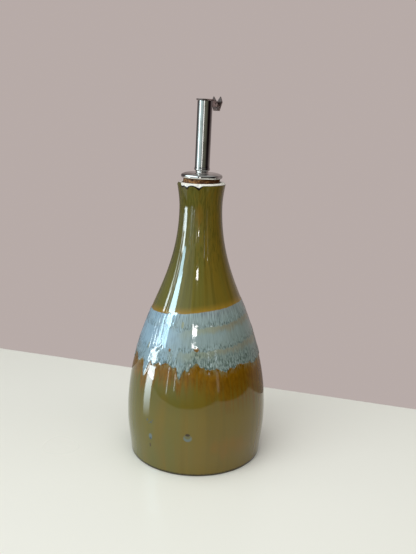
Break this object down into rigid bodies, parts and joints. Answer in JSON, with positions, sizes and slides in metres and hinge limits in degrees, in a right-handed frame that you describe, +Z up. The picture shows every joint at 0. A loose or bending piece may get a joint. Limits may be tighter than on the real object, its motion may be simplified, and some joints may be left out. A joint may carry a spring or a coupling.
{
  "type": "oil cruet",
  "caption": "Stoneware oil bottle with an olive glaze and a pale blue runny band, closed by a cork-seated steel pourer whose hinged flap swings open to pour.",
  "frame": {"origin": "centre of the foot, on the surface that the bottle stands on", "axes": "+Z up along the bottle's axis, +X to the viewer's right in the picture, +Y away from the viewer"},
  "size_m": [0.099, 0.099, 0.2497],
  "materials": {
    "stoneware_glaze": "glossy olive glaze with amber edges and a pale blue band that has run",
    "cork": "bare cork, stained brown by oil",
    "steel": "polished stainless steel"
  },
  "bodies": {
    "cruet": {"bottle": "stoneware_glaze", "cork": "cork", "flange": "steel", "pour_tube": "steel", "hinge_bracket": "steel", "hinge_pin": "steel"},
    "flap": {"flap": "steel"}
  },
  "joints": [
    {"name": "flap_hinge", "type": "hinge", "parent": "cruet", "child": "flap", "pos_m": [0.00726, 0.00597, 0.24466], "axis": [-0.6945, 0.7193, 0.0145], "range_deg": [0, 70]}
  ]
}
